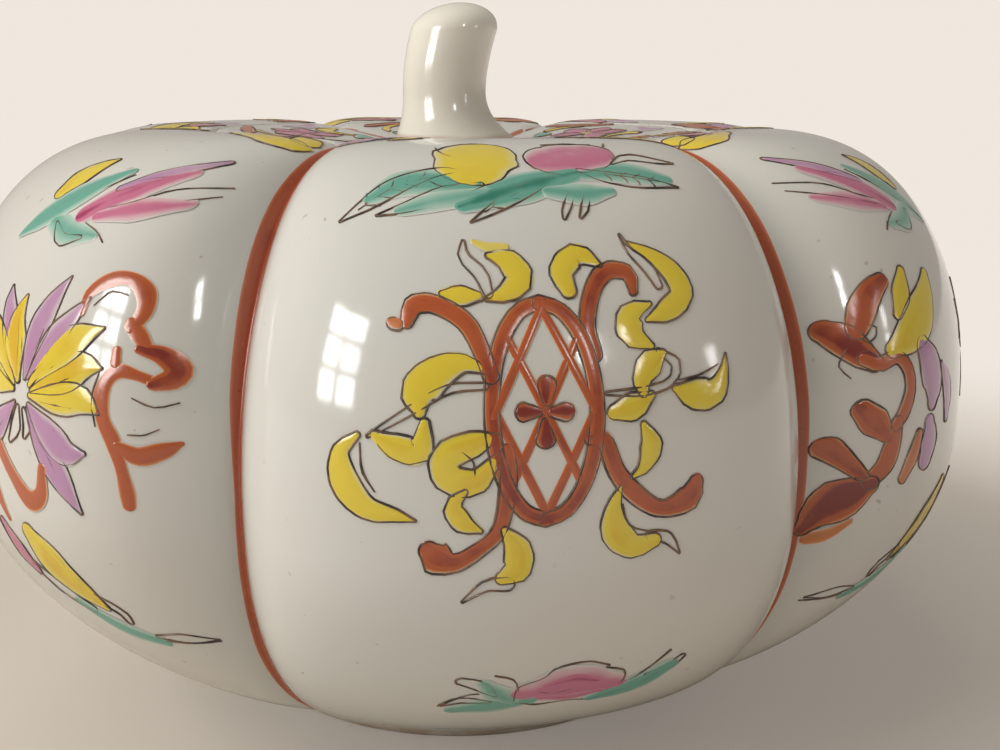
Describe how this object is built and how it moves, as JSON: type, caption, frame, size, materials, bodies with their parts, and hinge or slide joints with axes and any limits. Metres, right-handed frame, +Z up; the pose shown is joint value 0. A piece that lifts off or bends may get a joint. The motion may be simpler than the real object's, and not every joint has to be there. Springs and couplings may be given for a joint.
{
  "type": "ceramic pumpkin jar",
  "caption": "Ribbed porcelain pumpkin made as a covered jar, with a turned foot ring, a ledged mouth and a lift-off lid whose curved stalk is the knob.",
  "frame": {"origin": "on the jar's axis, in the plane of the foot ring's resting face", "axes": "+Z up along the jar's axis, -Y towards the crown of the front lobe"},
  "size_m": [0.1638, 0.17, 0.115],
  "materials": {
    "porcelain": "clear glossy glaze over white porcelain, with painted overglaze enamels",
    "celadon": "plain pale grey-green glossy glaze",
    "biscuit": "unglazed fired porcelain, matt"
  },
  "bodies": {
    "jar": {"lower_shell": "porcelain", "upper_shell": "porcelain", "foot_ring": "biscuit", "mouth_gallery": "porcelain"},
    "lid": {"lid_shell": "porcelain", "lid_flange": "biscuit", "stem_knob": "celadon"}
  },
  "joints": [
    {"name": "lid_lift", "type": "slide", "parent": "jar", "child": "lid", "axis": [0, 0, 1], "range_m": [0, 0.05]}
  ]
}
